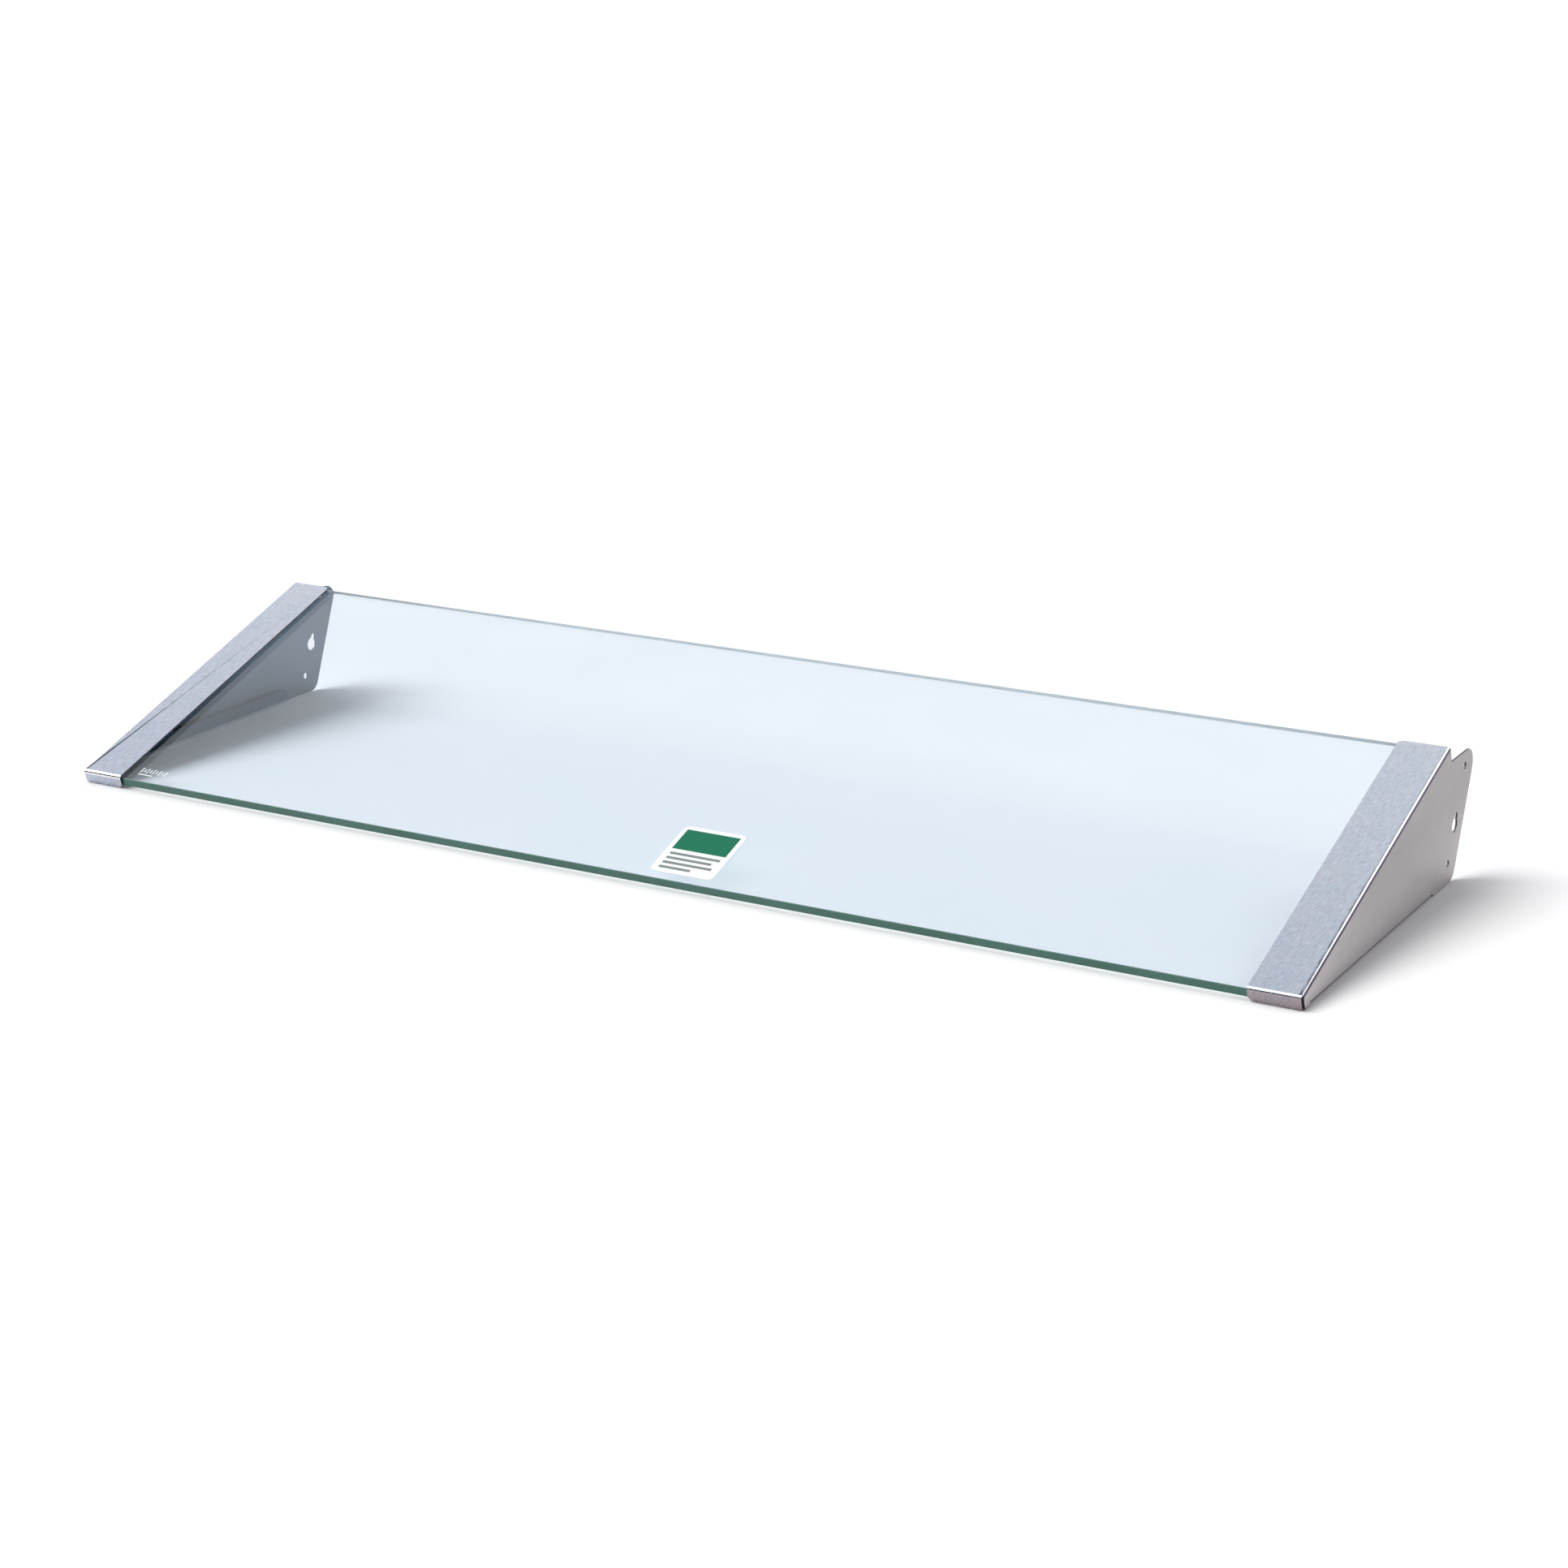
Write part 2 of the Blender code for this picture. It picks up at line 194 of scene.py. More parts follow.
def noise(tree, vector, size, detail=2.0, roughness=0.5, offset=(0.0, 0.0, 0.0)):
    """Noise, about 0 to 1, whose features are about size = (x, y, z) metres large."""
    mapping = tree.nodes.new("ShaderNodeMapping")
    mapping.inputs["Scale"].default_value = [1.0 / s for s in size]
    mapping.inputs["Location"].default_value = offset
    tree.links.new(vector, mapping.inputs["Vector"])
    texture = tree.nodes.new("ShaderNodeTexNoise")
    texture.inputs["Scale"].default_value = 1.0
    texture.inputs["Detail"].default_value = detail
    texture.inputs["Roughness"].default_value = roughness
    tree.links.new(mapping.outputs["Vector"], texture.inputs["Vector"])
    return texture.outputs["Fac"]


def remap(tree, value, low, high, to_low, to_high):
    """Map Range with clamped ends."""
    node = tree.nodes.new("ShaderNodeMapRange")
    node.inputs["From Min"].default_value = low
    node.inputs["From Max"].default_value = high
    node.inputs["To Min"].default_value = to_low
    node.inputs["To Max"].default_value = to_high
    tree.links.new(value, node.inputs["Value"])
    return node.outputs["Result"]


def mix_color(tree, factor, first, second, blend="MIX"):
    """Mix of two colours, each a tuple or a socket."""
    node = tree.nodes.new("ShaderNodeMix")
    node.data_type = "RGBA"
    node.blend_type = blend
    sockets = {s.identifier: s for s in node.inputs}
    if isinstance(factor, (int, float)):
        sockets["Factor_Float"].default_value = factor
    else:
        tree.links.new(factor, sockets["Factor_Float"])
    for socket, color in ((sockets["A_Color"], first), (sockets["B_Color"], second)):
        if isinstance(color, tuple):
            socket.default_value = (*color, 1.0)
        else:
            tree.links.new(color, socket)
    return next(s for s in node.outputs if s.identifier == "Result_Color")


def bump(tree, height, distance, strength):
    """The shading normal of a relief; distance is its depth in metres."""
    node = tree.nodes.new("ShaderNodeBump")
    node.inputs["Distance"].default_value = distance
    node.inputs["Strength"].default_value = strength
    tree.links.new(height, node.inputs["Height"])
    return node.outputs["Normal"]


def principled(tree, output, metallic=0.0):
    """A Principled shader, linked to the material's output."""
    shader = tree.nodes.new("ShaderNodeBsdfPrincipled")
    shader.inputs["Metallic"].default_value = metallic
    tree.links.new(shader.outputs["BSDF"], output.inputs["Surface"])
    return shader


# ---------------------------------------------------------------- materials

def brushed_steel():
    """The sheet's faces: short overlapping brush strokes along the grain, faint tint clouds,
    a painted light that brightens the colour towards the rear and the right, and painted shade
    that darkens and warms the right bracket's lip."""
    material, tree, output = new_material("brushed_steel")
    grain = uv_vector(tree, GRAIN_UV)
    strokes = noise(tree, grain, (0.0009, 0.0048, 1.0), detail=2.0, roughness=0.55)
    hairs = noise(tree, grain, (0.00040, 0.0070, 1.0), detail=2.0, offset=(3.1, 1.7, 0.4))
    clouds = noise(tree, grain, (0.016, 0.022, 1.0), detail=1.0, offset=(7.3, 2.9, 1.1))
    patches = noise(tree, grain, (0.006, 0.010, 1.0), detail=1.0, offset=(1.9, 8.3, 2.2))
    tint = mix_color(tree, remap(tree, clouds, 0.35, 0.65, 0.0, 1.0),
                     (0.560, 0.615, 0.715), (0.590, 0.612, 0.705))
    light = math_node(tree, "ADD", remap(tree, strokes, 0.25, 0.75, -0.16, 0.16),
                      remap(tree, hairs, 0.2, 0.8, -0.10, 0.10))
    light = math_node(tree, "ADD", light, remap(tree, patches, 0.3, 0.7, 0.985, 1.015))
    shade = tree.nodes.new("ShaderNodeCombineColor")
    for channel in shade.inputs[:3]:
        tree.links.new(light, channel)
    color = mix_color(tree, 1.0, tint, shade.outputs["Color"], blend="MULTIPLY")
    place_x, place_y, place_z = split_vector(tree, object_vector(tree))
    rear = remap(tree, place_y, CAD_BOX[0].y, CAD_BOX[1].y, 0.0, 1.0)
    right = remap(tree, place_x, CAD_BOX[0].x, CAD_BOX[1].x, 0.0, 1.0)
    lip = remap(tree, place_z, LIP_TOP - LIP_PAINTED_SHADE_FADE, LIP_TOP, 1.0, 0.0)
    # Painted light: the colour grows brighter from front to rear and from left to right.
    painted_light_rearwards = mix_color(tree, rear, (0.88, 0.88, 0.89), (1.16, 1.15, 1.12))
    painted_light_rightwards = mix_color(tree, right, (0.93, 0.93, 0.93), (1.20, 1.22, 1.20))
    # Painted shade: the right bracket's lip is darker and warmer.
    painted_shade_right_lip = mix_color(tree, right, (1.0, 1.0, 1.0), (0.70, 0.57, 0.52))
    color = mix_color(tree, 1.0, color, painted_light_rearwards, blend="MULTIPLY")
    color = mix_color(tree, 1.0, color, mix_color(tree, lip, painted_light_rightwards, painted_shade_right_lip), blend="MULTIPLY")

    shader = principled(tree, output, metallic=1.0)
    shader.inputs["Anisotropic"].default_value = 0.45
    tangent = tree.nodes.new("ShaderNodeTangent")
    tangent.direction_type = "UV_MAP"
    tangent.uv_map = GRAIN_UV
    tree.links.new(tangent.outputs["Tangent"], shader.inputs["Tangent"])
    tree.links.new(color, shader.inputs["Base Color"])
    rough = math_node(tree, "ADD", remap(tree, strokes, 0.25, 0.75, 0.25, 0.33),
                      remap(tree, clouds, 0.3, 0.7, -0.02, 0.02))
    tree.links.new(rough, shader.inputs["Roughness"])
    relief = math_node(tree, "ADD", strokes, math_node(tree, "MULTIPLY", hairs, 0.5))
    tree.links.new(bump(tree, relief, 0.00001, 0.5), shader.inputs["Normal"])
    return material


def mill_steel_painted_shade(name, dark, pale):
    """The sheet's inner side: duller rolled metal with long faint roll marks, in a dark colour that is
    painted shade.
    """
    material, tree, output = new_material(name)
    grain = uv_vector(tree, GRAIN_UV)
    rolls = noise(tree, grain, (0.0012, 0.060, 1.0), detail=2.0, offset=(2.2, 4.1, 0.6))
    clouds = noise(tree, grain, (0.020, 0.030, 1.0), detail=2.0, offset=(0.7, 3.3, 5.1))
    color = mix_color(tree, remap(tree, clouds, 0.3, 0.7, 0.0, 1.0), dark, pale)
    shader = principled(tree, output, metallic=1.0)
    tree.links.new(color, shader.inputs["Base Color"])
    tree.links.new(remap(tree, rolls, 0.3, 0.7, 0.36, 0.46), shader.inputs["Roughness"])
    tree.links.new(bump(tree, rolls, 0.00001, 0.3), shader.inputs["Normal"])
    return material


def side_steel_painted_shade():
    """The side plates' outer faces: the same sheet with a finer, duller and warmer grain, in a dark colour
    that is painted shade and grows darker towards the top.
    """
    material, tree, output = new_material("side_steel_painted_shade")
    grain = uv_vector(tree, GRAIN_UV)
    strokes = noise(tree, grain, (0.0006, 0.0070, 1.0), detail=2.5, roughness=0.6, offset=(5.5, 0.9, 3.0))
    clouds = noise(tree, grain, (0.018, 0.024, 1.0), detail=1.0, offset=(1.3, 6.9, 4.1))
    place_z = split_vector(tree, object_vector(tree))[2]
    # Painted shade: darker from the floor upwards.
    rise = remap(tree, place_z, 0.0, SIDE_PAINTED_SHADE_HEIGHT, 0.0, 1.0)
    tint = mix_color(tree, rise, (0.74, 0.70, 0.70), (0.50, 0.475, 0.475))
    veil = mix_color(tree, remap(tree, clouds, 0.3, 0.7, 0.0, 1.0), (0.96, 0.96, 0.96), (1.0, 1.0, 1.0))
    veil = mix_color(tree, remap(tree, strokes, 0.25, 0.75, 0.0, 0.06), veil, (0.2, 0.2, 0.2))
    shader = principled(tree, output, metallic=1.0)
    tree.links.new(mix_color(tree, 1.0, tint, veil, blend="MULTIPLY"), shader.inputs["Base Color"])
    tree.links.new(remap(tree, strokes, 0.25, 0.75, 0.52, 0.60), shader.inputs["Roughness"])
    tree.links.new(bump(tree, strokes, 0.00001, 0.3), shader.inputs["Normal"])
    return material


def worn_steel_painted_highlight_and_shade():
    """The outside of the folds, rubbed smoother than the brushed faces and given a paler colour as a painted
    highlight, with a dark purple painted shade along the side plate."""
    material, tree, output = new_material("worn_steel_painted_highlight_and_shade")
    grain = uv_vector(tree, GRAIN_UV)
    scuffs = noise(tree, grain, (0.0010, 0.0060, 1.0), detail=3.0, offset=(0.4, 2.6, 7.7))
    rub = noise(tree, grain, (0.020, 0.020, 1.0), detail=1.0, offset=(8.1, 0.2, 1.6))
    # Painted highlight: paler than the brushed faces.
    color = mix_color(tree, remap(tree, rub, 0.3, 0.7, 0.0, 1.0), (0.78, 0.78, 0.81), (0.86, 0.86, 0.88))
    place_x = split_vector(tree, object_vector(tree))[0]
    from_plate = math_node(tree, "SUBTRACT", CAD_BOX[1].x, math_node(tree, "ABSOLUTE", place_x))
    painted_shade_by_plate = remap(tree, from_plate, FOLD_PAINTED_SHADE_FULL, FOLD_PAINTED_SHADE_END, 1.0, 0.0)
    # Painted shade: dark purple beside the side plate.
    color = mix_color(tree, painted_shade_by_plate, color, (0.20, 0.16, 0.26))
    shader = principled(tree, output, metallic=1.0)
    tree.links.new(color, shader.inputs["Base Color"])
    tree.links.new(remap(tree, scuffs, 0.3, 0.7, 0.13, 0.22), shader.inputs["Roughness"])
    tree.links.new(bump(tree, scuffs, 0.00001, 0.3), shader.inputs["Normal"])
    return material


def cut_steel():
    """The sheet's laser-cut edges: dark, dull metal with fine marks across its thickness."""
    material, tree, output = new_material("cut_steel")
    place = object_vector(tree)
    marks = noise(tree, place, (0.00035, 0.00035, 0.0020), detail=2.0)
    stain = noise(tree, place, (0.006, 0.006, 0.006), detail=1.0, offset=(5.0, 2.0, 9.0))
    color = mix_color(tree, remap(tree, stain, 0.3, 0.7, 0.0, 1.0),
                      (0.14, 0.12, 0.13), (0.09, 0.08, 0.09))
    shader = principled(tree, output, metallic=1.0)
    tree.links.new(color, shader.inputs["Base Color"])
    tree.links.new(remap(tree, marks, 0.3, 0.7, 0.34, 0.50), shader.inputs["Roughness"])
    tree.links.new(bump(tree, marks, 0.00002, 0.6), shader.inputs["Normal"])
    return material


def clear_glass():
    """Clear float glass with a cool cast and faint wiping marks. Lamps shine through it."""
    material, tree, output = new_material("clear_glass")
    place = object_vector(tree)
    wipes = noise(tree, place, (0.09, 0.035, 0.09), detail=3.0, offset=(2.0, 5.0, 1.0))
    specks = noise(tree, place, (0.0016, 0.0016, 0.0016), detail=1.0)
    film = math_node(tree, "ADD", remap(tree, wipes, 0.45, 0.75, 0.0, 0.022),
                     remap(tree, specks, 0.68, 0.80, 0.0, 0.03))
    cast = mix_color(tree, remap(tree, wipes, 0.3, 0.7, 0.0, 1.0),
                     (0.770, 0.845, 0.905), (0.790, 0.855, 0.915))
    shader = tree.nodes.new("ShaderNodeBsdfPrincipled")
    shader.inputs["Transmission Weight"].default_value = 1.0
    shader.inputs["IOR"].default_value = GLASS_IOR
    tree.links.new(cast, shader.inputs["Base Color"])
    tree.links.new(film, shader.inputs["Roughness"])
    clear = tree.nodes.new("ShaderNodeBsdfTransparent")
    clear.inputs["Color"].default_value = (0.94, 0.955, 0.965, 1.0)
    path = tree.nodes.new("ShaderNodeLightPath")
    straight = math_node(tree, "MAXIMUM", path.outputs["Is Shadow Ray"], path.outputs["Is Diffuse Ray"])
    mix = tree.nodes.new("ShaderNodeMixShader")
    tree.links.new(straight, mix.inputs["Fac"])
    tree.links.new(shader.outputs["BSDF"], mix.inputs[1])
    tree.links.new(clear.outputs["BSDF"], mix.inputs[2])
    tree.links.new(mix.outputs["Shader"], output.inputs["Surface"])
    return material


def glass_edge(name, dark, pale):
    """The panel's ground edges: tinted glass seen end on, with fine grinding marks."""
    material, tree, output = new_material(name)
    place = object_vector(tree)
    grind = noise(tree, place, (0.004, 0.0003, 0.0003), detail=2.0)
    depth = noise(tree, place, (0.05, 0.05, 0.05), detail=1.0, offset=(3.0, 1.0, 7.0))
    color = mix_color(tree, remap(tree, depth, 0.3, 0.7, 0.0, 1.0), dark, pale)
    shader = principled(tree, output)
    shader.inputs["IOR"].default_value = GLASS_IOR
    tree.links.new(color, shader.inputs["Base Color"])
    tree.links.new(remap(tree, grind, 0.3, 0.7, 0.12, 0.30), shader.inputs["Roughness"])
    tree.links.new(bump(tree, grind, 0.00002, 0.4), shader.inputs["Normal"])
    return material


def foam_tape():
    """Matt dark bonding tape with a fine open grain."""
    material, tree, output = new_material("foam_tape")
    place = object_vector(tree)
    cells = noise(tree, place, (0.0004, 0.0004, 0.0004), detail=2.0)
    clouds = noise(tree, place, (0.012, 0.012, 0.012), detail=1.0, offset=(4.0, 4.0, 2.0))
    color = mix_color(tree, clouds, (0.010, 0.012, 0.014), (0.022, 0.024, 0.028))
    shader = principled(tree, output)
    tree.links.new(color, shader.inputs["Base Color"])
    tree.links.new(remap(tree, cells, 0.3, 0.7, 0.70, 0.92), shader.inputs["Roughness"])
    tree.links.new(bump(tree, cells, 0.00008, 0.7), shader.inputs["Normal"])
    return material


def band(tree, value, low, high):
    """1 where low < value < high, with soft edges."""
    rise = remap(tree, value, low - PRINT_SOFTNESS, low + PRINT_SOFTNESS, 0.0, 1.0)
    fall = remap(tree, value, high - PRINT_SOFTNESS, high + PRINT_SOFTNESS, 1.0, 0.0)
    return math_node(tree, "MULTIPLY", rise, fall)


def printed_box(tree, across, up, left, right, bottom, top):
    """1 inside an upright rectangle of the label, given in fractions of its width and height."""
    return math_node(tree, "MULTIPLY", band(tree, across, left, right), band(tree, up, bottom, top))


def printed_label():
    """White vinyl printed with a plain green panel and plain rules in place of any wording."""
    material, tree, output = new_material("printed_label")
    across, up, _ = split_vector(tree, uv_vector(tree, PRINT_UV))
    panel = printed_box(tree, across, up, *PRINT_PANEL)
    rules = None
    for bottom, right in PRINT_RULES:
        rule = printed_box(tree, across, up, PRINT_RULE_LEFT, right, bottom, bottom + PRINT_RULE_HEIGHT)
        rules = rule if rules is None else math_node(tree, "MAXIMUM", rules, rule)
    place = object_vector(tree)
    fibre = noise(tree, place, (0.0005, 0.0005, 0.0005), detail=2.0)
    ink = noise(tree, place, (0.004, 0.004, 0.004), detail=2.0, offset=(1.0, 6.0, 3.0))
    paper = mix_color(tree, ink, (0.86, 0.88, 0.88), (0.92, 0.93, 0.93))
    green = mix_color(tree, ink, (0.000, 0.150, 0.075), (0.002, 0.175, 0.090))
    grey = mix_color(tree, ink, (0.18, 0.22, 0.21), (0.24, 0.28, 0.27))
    color = mix_color(tree, rules, mix_color(tree, panel, paper, green), grey)
    shader = principled(tree, output)
    shader.inputs["Specular IOR Level"].default_value = 0.15
    tree.links.new(color, shader.inputs["Base Color"])
    tree.links.new(remap(tree, fibre, 0.3, 0.7, 0.36, 0.46), shader.inputs["Roughness"])
    tree.links.new(bump(tree, fibre, 0.00001, 0.4), shader.inputs["Normal"])
    return material


def etched_ink():
    """Fired white ink on the glass, broken by fine pinholes."""
    material, tree, output = new_material("etched_ink")
    place = object_vector(tree)
    holes = noise(tree, place, (0.0003, 0.0003, 0.0003), detail=1.0)
    color = mix_color(tree, remap(tree, holes, 0.35, 0.6, 0.0, 1.0), (0.60, 0.68, 0.70), (0.80, 0.86, 0.87))
    shader = principled(tree, output)
    tree.links.new(color, shader.inputs["Base Color"])
    tree.links.new(remap(tree, holes, 0.3, 0.7, 0.55, 0.75), shader.inputs["Roughness"])
    tree.links.new(bump(tree, holes, 0.00001, 0.5), shader.inputs["Normal"])
    return material


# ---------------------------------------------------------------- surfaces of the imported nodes

def set_materials(obj, *materials):
    obj.data.materials.clear()
    for material in materials:
        obj.data.materials.append(material)


def smooth_bends(obj):
    """Shades the bends round and the flat faces flat, without touching the mesh's points."""
    mesh = obj.data
    custom = mesh.attributes.get("custom_normal")
    if custom is not None:
        mesh.attributes.remove(custom)
    mesh.shade_smooth()
    mesh.edges.foreach_set("use_edge_sharp", [False] * len(mesh.edges))
    weld = obj.modifiers.new("weld", "WELD")
    weld.merge_threshold = WELD_DISTANCE
    split = obj.modifiers.new("split", "EDGE_SPLIT")
    split.split_angle = SHARP_ANGLE
    split.use_edge_sharp = False
    normals = obj.modifiers.new("normals", "WEIGHTED_NORMAL")
    normals.keep_sharp = True


def smooth_regions(mesh):
    """Groups of polygons that meet at less than the sharp angle, each with its mean width."""
    work = bmesh.new()
    work.from_mesh(mesh)
    number = work.faces.layers.int.new("number")
    for face in work.faces:
        face[number] = face.index
    bmesh.ops.remove_doubles(work, verts=work.verts, dist=WELD_DISTANCE)
    left = set(work.faces)
    regions = []
    while left:
        start = min(left, key=lambda face: face[number])
        left.remove(start)
        queue = [start]
        members = []
        area = 0.0
        rim = 0.0
        while queue:
            face = queue.pop()
            members.append(face[number])
            area += face.calc_area()
            for edge in face.edges:
                if edge.calc_face_angle(math.pi) > SHARP_ANGLE:
                    rim += edge.calc_length()
                    continue
                for other in edge.link_faces:
                    if other in left:
                        left.remove(other)
                        queue.append(other)
        regions.append((members, 2.0 * area / rim if rim else math.inf))
    work.free()
    return regions


def is_inner_side(mesh, members):
    """True for the side of the folded sheet that looks at the glass: its points, taken
    against their normals, lie nearer to the panel's middle height line."""
    inner = outer = 0.0
    for number in members:
        face = mesh.polygons[number]
        x, u, w = slope_coordinates(face.center)
        tip_x, tip_u, tip_w = slope_coordinates(face.center + face.normal * MM)
        inner_turn = abs(tip_x) < abs(x) - 0.5 * MM or tip_w > w + 0.5 * MM
        if inner_turn:
            inner += face.area
        else:
            outer += face.area
    return inner > outer


def is_flat(normal):
    """True if the sheet there lies as the side plate, the flange, the lip or the floor does."""
    slope_u = slope_point(0, 1, 0) - slope_point(0, 0, 0)
    slope_w = slope_point(0, 0, 1) - slope_point(0, 0, 0)
    flats = (Vector((1.0, 0.0, 0.0)), Vector((0.0, 0.0, 1.0)), slope_u, slope_w)
    return max(abs(normal.dot(flat)) for flat in flats) > FLAT_COSINE


def flat_skin(face):
    """0 or 1 where a face lies in the outer or inner skin of the side plate or the flange."""
    x, u, w = slope_coordinates(face.center)
    normal_x, normal_u, normal_w = slope_coordinates(face.normal + FRONT_CORNER)
    if abs(normal_x) > FLAT_COSINE:
        depth = CAD_BOX[1].x - abs(x)
    elif abs(normal_w) > FLAT_COSINE:
        depth = w
    else:
        return None
    if abs(depth) < SKIN_TOLERANCE:
        return 0
    return 1 if abs(depth - SHEET) < SKIN_TOLERANCE else None


def mark_sheet_sides(mesh, side):
    """Material 0 on the outer side, 1 (painted shade) on the inner side and 2 on cut edges and hole
    walls, which are the strips as narrow as the sheet; then 3, rubbed smoother and painted with a
    highlight, on the right bracket's long folds and the left bracket's front fold, 4 (painted shade)
    on the side plate's outer face and 5 (darker painted shade) on the hem leaf's face."""
    for members, width in smooth_regions(mesh):
        slot = 2 if width < CUT_EDGE_WIDTH else int(is_inner_side(mesh, members))
        for number in members:
            mesh.polygons[number].material_index = slot
    for face in mesh.polygons:
        skin = flat_skin(face)
        if skin is not None:
            face.material_index = skin
        if face.material_index == 0:
            if not is_flat(face.normal):
                # Painted highlight: only these folds get the bright fold colour.
                is_long_fold = abs(face.normal.x) > LONG_FOLD_NORMAL
                face.material_index = 3 if is_long_fold == (side > 0) else 0
            elif abs(face.normal.x) > FLAT_COSINE:
                face.material_index = 4 if side * face.normal.x > 0 else 5


def add_grain_map(mesh, grain_sign):
    """UVs in metres on the unfolded sheet, turned so that V runs along the grain. Each polygon
    is laid flat by its own direction: as side plate or hem, as lip, or as flange."""
    layer = mesh.uv_layers.new(name=GRAIN_UV)
    half_length = CAD_BOX[1].x
    for polygon in mesh.polygons:
        normal_x, normal_u, normal_w = slope_coordinates(polygon.normal + FRONT_CORNER)
        for index in polygon.loop_indices:
            x, u, w = slope_coordinates(mesh.vertices[mesh.loops[index].vertex_index].co)
            inward = half_length - abs(x)
            if abs(normal_x) > FACING:
                run, off = u, -w
            elif abs(normal_u) > FACING:
                run, off = -w, inward
            else:
                run, off = u, inward
            along = run * math.cos(SLOPE) - grain_sign * off * math.sin(SLOPE)
            across = grain_sign * run * math.sin(SLOPE) + off * math.cos(SLOPE)
            layer.data[index].uv = (across, along)


def add_print_map(mesh):
    """UVs from 0 to 1 across and up the label."""
    places = [slope_coordinates(vertex.co) for vertex in mesh.vertices]
    low_x, high_x = min(p[0] for p in places), max(p[0] for p in places)
    low_u, high_u = min(p[1] for p in places), max(p[1] for p in places)
    layer = mesh.uv_layers.new(name=PRINT_UV)
    for loop in mesh.loops:
        x, u, w = places[loop.vertex_index]
        layer.data[loop.index].uv = ((x - low_x) / (high_x - low_x), (u - low_u) / (high_u - low_u))


def dress_brackets():
    """The brush strokes run the same way on both flanges, so the grain turns with the side."""
    # The inner side's and the hem leaf's dark colours are painted shade.
    finishes = (brushed_steel(),
                mill_steel_painted_shade("mill_steel_painted_shade", (0.142, 0.185, 0.230), (0.162, 0.205, 0.250)),
                cut_steel(), worn_steel_painted_highlight_and_shade(), side_steel_painted_shade(),
                mill_steel_painted_shade("hem_steel_painted_shade", (0.042, 0.098, 0.160), (0.050, 0.110, 0.175)))
    for name, side in (("right_bracket", 1.0), ("left_bracket", -1.0)):
        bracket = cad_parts[name]
        set_materials(bracket, *finishes)
        mark_sheet_sides(bracket.data, side)
        add_grain_map(bracket.data, side)
        smooth_bends(bracket)


def dress_glass():
    """Clear faces and green edges. The rear edge, seen through the panel, is coloured pale as painted light
    shining through it from behind.
    """
    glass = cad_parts["glass_panel"]
    set_materials(glass, clear_glass(),
                  glass_edge("glass_edge", (0.036, 0.135, 0.100), (0.050, 0.165, 0.135)),
                  glass_edge("glass_rear_edge_painted_backlight", (0.72, 0.79, 0.82), (0.80, 0.86, 0.88)))
    for face in glass.data.polygons:
        across_x, along_u, down_w = slope_coordinates(face.normal + FRONT_CORNER)
        is_edge = abs(down_w) < 0.99
        if is_edge:
            looks_rearwards = along_u > 0.1
            # Painted light: the rear edge takes the pale colour.
            face.material_index = 2 if looks_rearwards else 1
    smooth_bends(glass)


# ---------------------------------------------------------------- etched mark

def rounded_bar(work, x, u, length, height, radius):
    """A thin raised bar with round corners lying on the glass; (x, u) is its middle."""
    top = GLASS_TOP_DEPTH - MARK_GAP - MARK_INK_THICKNESS
    outline = []
    for corner in range(4):
        turn = corner * math.pi / 2
        side_x = 1 if corner in (0, 3) else -1
        side_u = 1 if corner in (0, 1) else -1
        for step in range(4):
            angle = turn + step * math.pi / 6
            outline.append((x + side_x * (length / 2 - radius) + radius * math.cos(angle),
                            u + side_u * (height / 2 - radius) + radius * math.sin(angle)))
    face = work.faces.new([work.verts.new(slope_point(px, pu, top)) for px, pu in outline])
    lower = bmesh.ops.extrude_face_region(work, geom=[face])
    down = slope_point(0, 0, MARK_INK_THICKNESS) - slope_point(0, 0, 0)
    bmesh.ops.translate(work, vec=down, verts=[v for v in lower["geom"] if isinstance(v, bmesh.types.BMVert)])


def etched_mark(ink):
    """Plain upright bars over a plain rule, where such a panel has its safety stamp."""
    work = bmesh.new()
    for index, height in enumerate(MARK_BAR_HEIGHTS):
        x = MARK_FIRST_BAR_X + MARK_BAR_STEP * index
        rounded_bar(work, x, MARK_BAR_U, MARK_BAR_WIDTH, height, MARK_BAR_RADIUS)
    rounded_bar(work, MARK_RULE_X, MARK_RULE_U, MARK_RULE_LENGTH, MARK_RULE_WIDTH, MARK_RULE_RADIUS)
    bmesh.ops.recalc_face_normals(work, faces=work.faces)
    mesh = bpy.data.meshes.new("etched_mark")
    work.to_mesh(mesh)
    work.free()
    mark = bpy.data.objects.new("etched_mark", mesh)
    bpy.context.scene.collection.objects.link(mark)
    mesh.materials.append(ink)
    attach(mark, BODY)
    return mark


# ---------------------------------------------------------------- studio

def direction(azimuth, elevation):
    """Unit vector from the object towards that azimuth from the front and that elevation."""
    a, e = math.radians(azimuth), math.radians(elevation)
    return Vector((math.sin(a) * math.cos(e), -math.cos(a) * math.cos(e), math.sin(e)))


def add_camera():
    middle = (CAD_BOX[0] + CAD_BOX[1]) / 2
    back = direction(CAMERA_AZIMUTH, CAMERA_ELEVATION)
    data = bpy.data.cameras.new("camera")
    data.lens = CAMERA_LENS
    data.sensor_width = 36.0
    data.clip_end = 500.0
    camera = bpy.data.objects.new("camera", data)
    turn = (-back).to_track_quat("-Z", "Y") @ Quaternion((0.0, 0.0, 1.0), math.radians(CAMERA_ROLL))
    place = middle + AIM_OFFSET + CAMERA_DISTANCE * back
    camera.matrix_world = Matrix.Translation(place) @ turn.to_matrix().to_4x4()
    bpy.context.scene.collection.objects.link(camera)
    bpy.context.scene.camera = camera


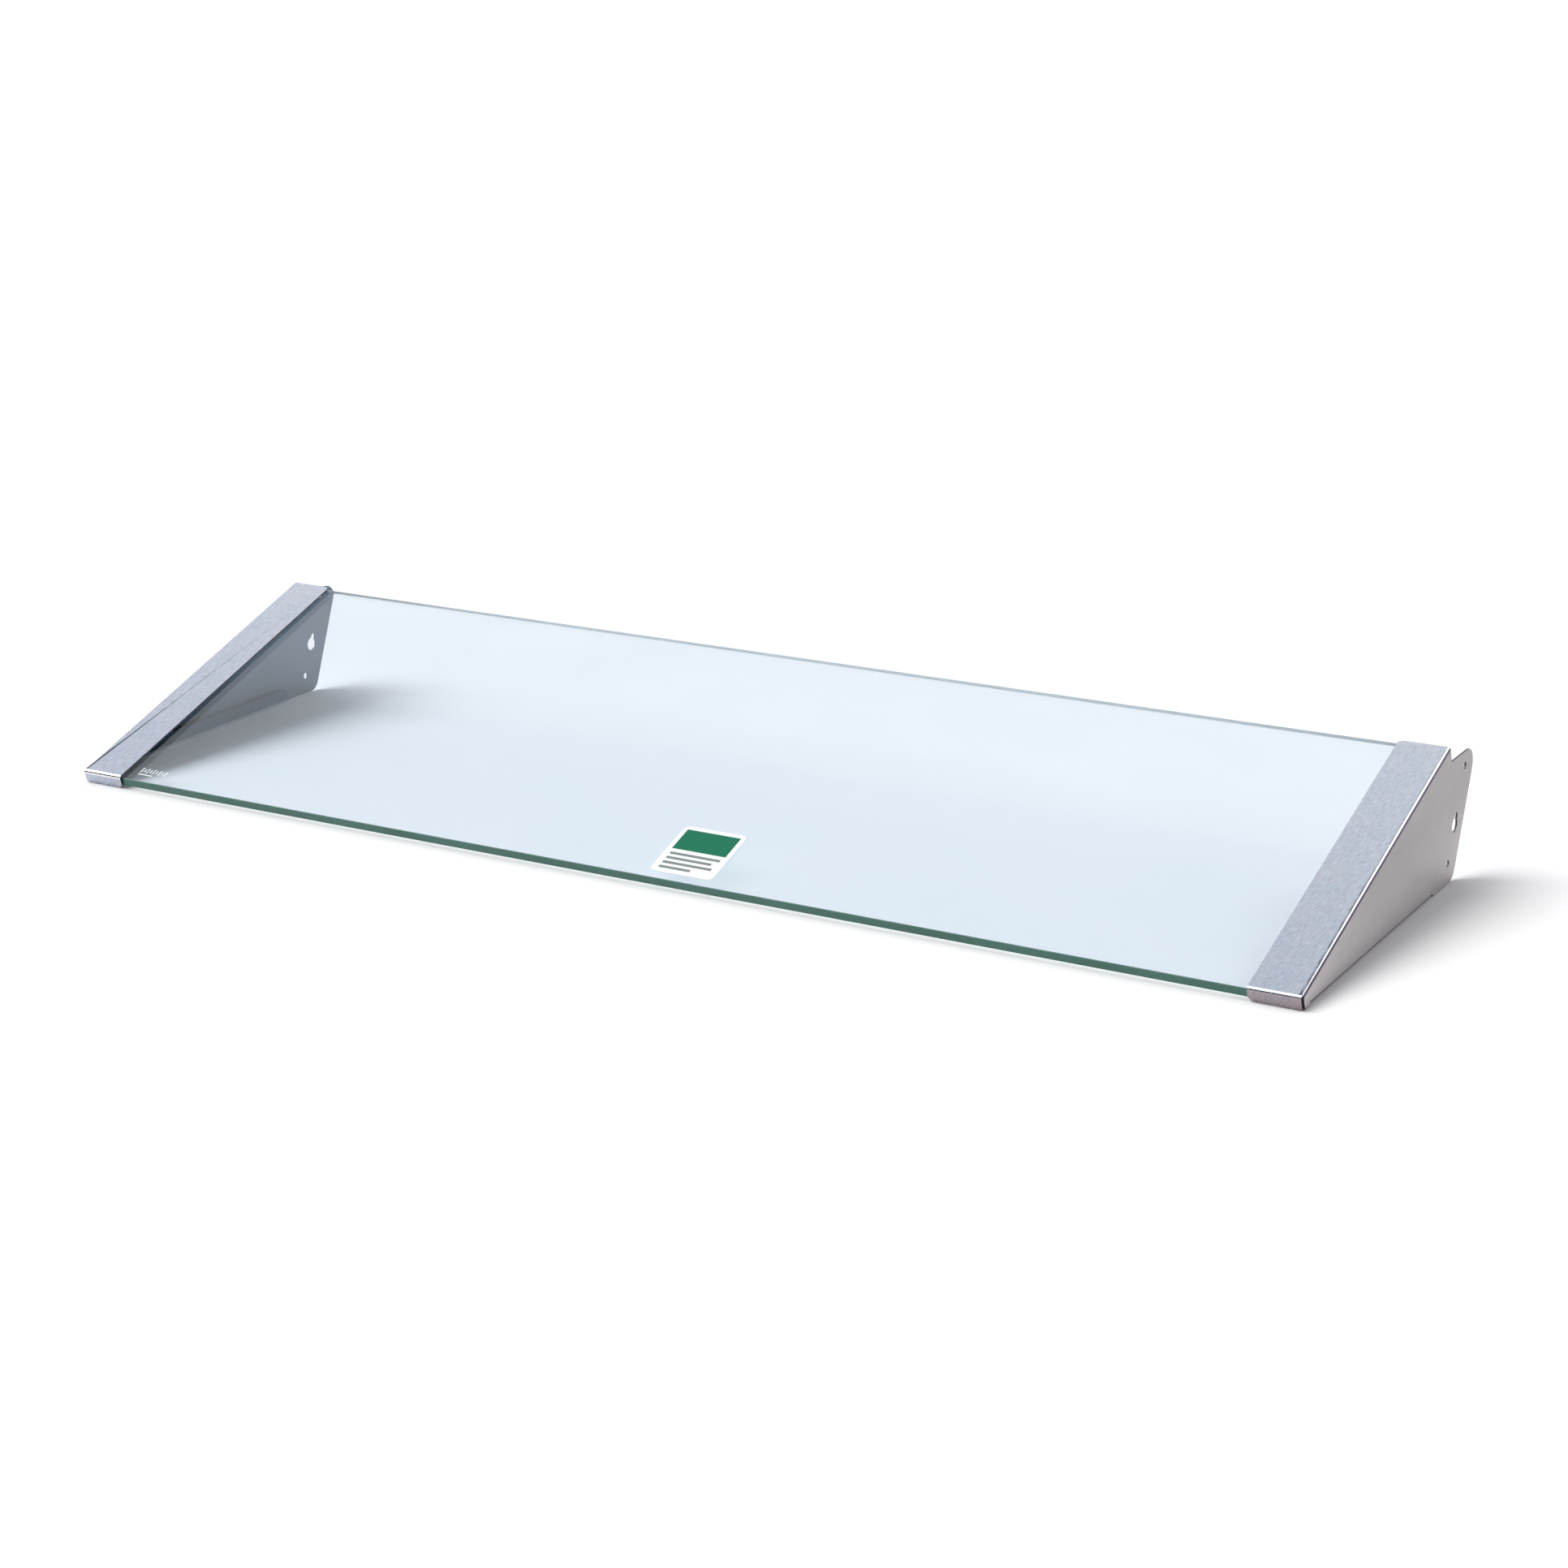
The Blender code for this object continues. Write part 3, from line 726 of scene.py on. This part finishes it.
def add_floor():
    work = bmesh.new()
    bmesh.ops.create_grid(work, x_segments=1, y_segments=1, size=FLOOR_SIZE / 2)
    mesh = bpy.data.meshes.new("floor")
    work.to_mesh(mesh)
    work.free()
    floor = bpy.data.objects.new("floor", mesh)
    floor.location.z = CAD_BOX[0].z - FLOOR_GAP
    bpy.context.scene.collection.objects.link(floor)
    material, tree, output = new_material("floor_paper")
    shader = principled(tree, output)
    shader.inputs["Base Color"].default_value = (0.93, 0.93, 0.93, 1.0)
    shader.inputs["Roughness"].default_value = 0.9
    shader.inputs["Specular IOR Level"].default_value = 0.1
    mesh.materials.append(material)


def add_lights():
    sun = bpy.data.lights.new("key", "SUN")
    sun.energy = SUN_STRENGTH
    sun.angle = math.radians(SUN_ANGLE)
    key = bpy.data.objects.new("key", sun)
    towards = direction(SUN_AZIMUTH, SUN_ELEVATION)
    key.rotation_mode = "QUATERNION"
    key.rotation_quaternion = towards.to_track_quat("Z", "Y")
    bpy.context.scene.collection.objects.link(key)

    panel = bpy.data.lights.new("rim", "AREA")
    panel.shape = "SQUARE"
    panel.size = RIM_SIZE
    panel.energy = RIM_RADIANCE * math.pi * RIM_SIZE ** 2
    rim = bpy.data.objects.new("rim", panel)
    towards = direction(RIM_AZIMUTH, RIM_ELEVATION)
    rim.location = RIM_DISTANCE * towards
    rim.rotation_mode = "QUATERNION"
    rim.rotation_quaternion = towards.to_track_quat("Z", "Y")
    bpy.context.scene.collection.objects.link(rim)


def add_world():
    """A dim room with wide soft lobes of light behind the object and a weak one at its right."""
    world = bpy.data.worlds.new("studio")
    world.use_nodes = True
    bpy.context.scene.world = world
    tree = world.node_tree
    tree.nodes.clear()
    sky = tree.nodes.new("ShaderNodeTexCoord").outputs["Generated"]
    color = SKY_BASE
    for azimuth, elevation, edge, full, lobe_color in SKY_LOBES:
        facing = tree.nodes.new("ShaderNodeVectorMath")
        facing.operation = "DOT_PRODUCT"
        tree.links.new(sky, facing.inputs[0])
        facing.inputs[1].default_value = direction(azimuth, elevation)
        lobe = remap(tree, facing.outputs["Value"], edge, full, 0.0, 1.0)
        color = mix_color(tree, lobe, color, lobe_color)
    background = tree.nodes.new("ShaderNodeBackground")
    tree.links.new(color, background.inputs["Color"])
    output = tree.nodes.new("ShaderNodeOutputWorld")
    tree.links.new(background.outputs["Background"], output.inputs["Surface"])


bpy.context.scene.view_settings.view_transform = "Standard"
add_camera()
add_floor()
add_lights()
add_world()

dress_brackets()
dress_glass()
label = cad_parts["label"]
set_materials(label, printed_label())
add_print_map(label.data)
smooth_bends(label)
label.visible_shadow = False  # vinyl this thin hardly dims the floor under wide soft light
tape = foam_tape()
for name in ("right_bonding_tape", "left_bonding_tape"):
    set_materials(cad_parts[name], tape)
etched_mark(etched_ink())
